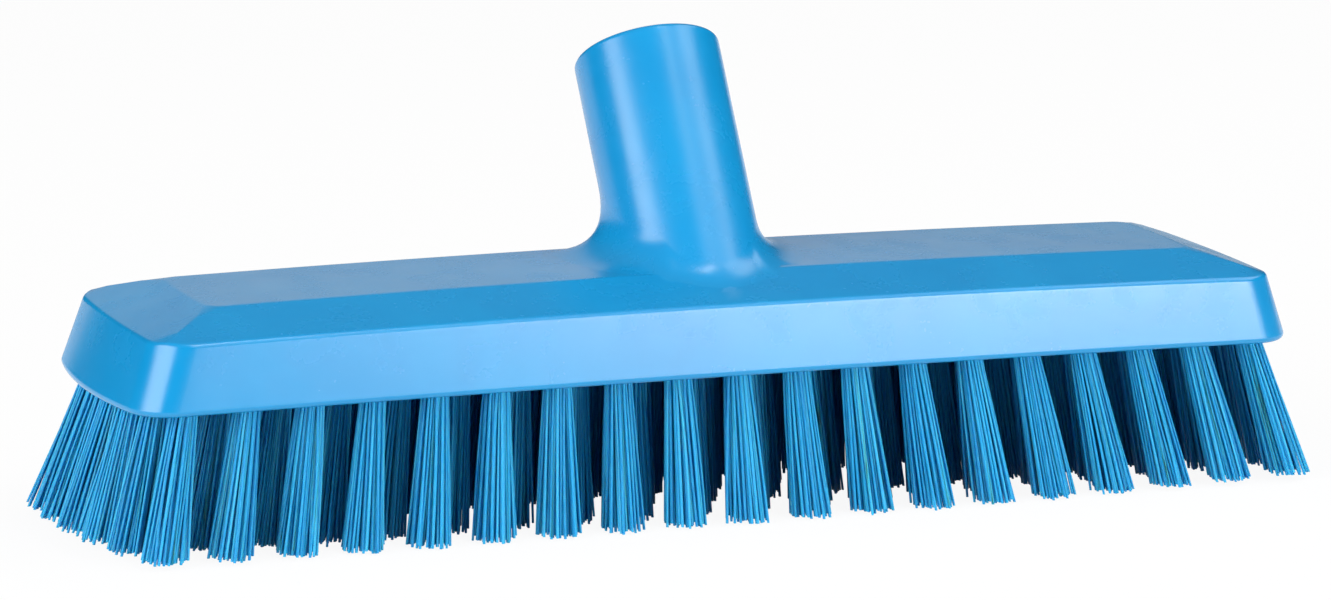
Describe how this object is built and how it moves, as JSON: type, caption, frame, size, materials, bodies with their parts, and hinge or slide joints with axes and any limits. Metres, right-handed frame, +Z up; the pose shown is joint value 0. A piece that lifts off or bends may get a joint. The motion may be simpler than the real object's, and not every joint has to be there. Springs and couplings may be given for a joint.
{
  "type": "deck brush head",
  "caption": "Moulded scrubbing block with a slanted, threaded handle socket on top and rows of stiff splayed bristle tufts below.",
  "frame": {"origin": "on the plane of the trimmed bristle tips, under the middle of the object's bounding box", "axes": "+X along the block, +Y towards the side the handle socket leans to, +Z up; the head stands on its bristle tips"},
  "size_m": [0.2764, 0.0698, 0.1],
  "materials": {
    "moulded_polypropylene": "moulded satin gloss",
    "bristle_fibre": "drawn filament, satin"
  },
  "bodies": {
    "root": {"brush_block": "moulded_polypropylene", "front_row_tufts_01": "bristle_fibre", "front_row_tufts_02": "bristle_fibre", "front_row_tufts_03": "bristle_fibre", "front_row_tufts_04": "bristle_fibre", "front_row_tufts_05": "bristle_fibre", "front_row_tufts_06": "bristle_fibre", "front_row_tufts_07": "bristle_fibre", "front_row_tufts_08": "bristle_fibre", "front_row_tufts_09": "bristle_fibre", "second_row_tufts_01": "bristle_fibre", "second_row_tufts_02": "bristle_fibre", "second_row_tufts_03": "bristle_fibre", "second_row_tufts_04": "bristle_fibre", "second_row_tufts_05": "bristle_fibre", "second_row_tufts_06": "bristle_fibre", "second_row_tufts_07": "bristle_fibre", "second_row_tufts_08": "bristle_fibre", "second_row_tufts_09": "bristle_fibre", "second_row_tufts_10": "bristle_fibre", "third_row_tufts_01": "bristle_fibre", "third_row_tufts_02": "bristle_fibre", "third_row_tufts_03": "bristle_fibre", "third_row_tufts_04": "bristle_fibre", "third_row_tufts_05": "bristle_fibre", "third_row_tufts_06": "bristle_fibre", "third_row_tufts_07": "bristle_fibre", "third_row_tufts_08": "bristle_fibre", "third_row_tufts_09": "bristle_fibre", "fourth_row_tufts_01": "bristle_fibre", "fourth_row_tufts_02": "bristle_fibre", "fourth_row_tufts_03": "bristle_fibre", "fourth_row_tufts_04": "bristle_fibre", "fourth_row_tufts_05": "bristle_fibre", "fourth_row_tufts_06": "bristle_fibre", "fourth_row_tufts_07": "bristle_fibre", "fourth_row_tufts_08": "bristle_fibre", "fourth_row_tufts_09": "bristle_fibre", "fourth_row_tufts_10": "bristle_fibre", "fifth_row_tufts_01": "bristle_fibre", "fifth_row_tufts_02": "bristle_fibre", "fifth_row_tufts_03": "bristle_fibre", "fifth_row_tufts_04": "bristle_fibre", "fifth_row_tufts_05": "bristle_fibre", "fifth_row_tufts_06": "bristle_fibre", "fifth_row_tufts_07": "bristle_fibre", "fifth_row_tufts_08": "bristle_fibre", "fifth_row_tufts_09": "bristle_fibre", "back_row_tufts_01": "bristle_fibre", "back_row_tufts_02": "bristle_fibre", "back_row_tufts_03": "bristle_fibre", "back_row_tufts_04": "bristle_fibre", "back_row_tufts_05": "bristle_fibre", "back_row_tufts_06": "bristle_fibre", "back_row_tufts_07": "bristle_fibre", "back_row_tufts_08": "bristle_fibre", "back_row_tufts_09": "bristle_fibre", "back_row_tufts_10": "bristle_fibre"}
  },
  "joints": []
}
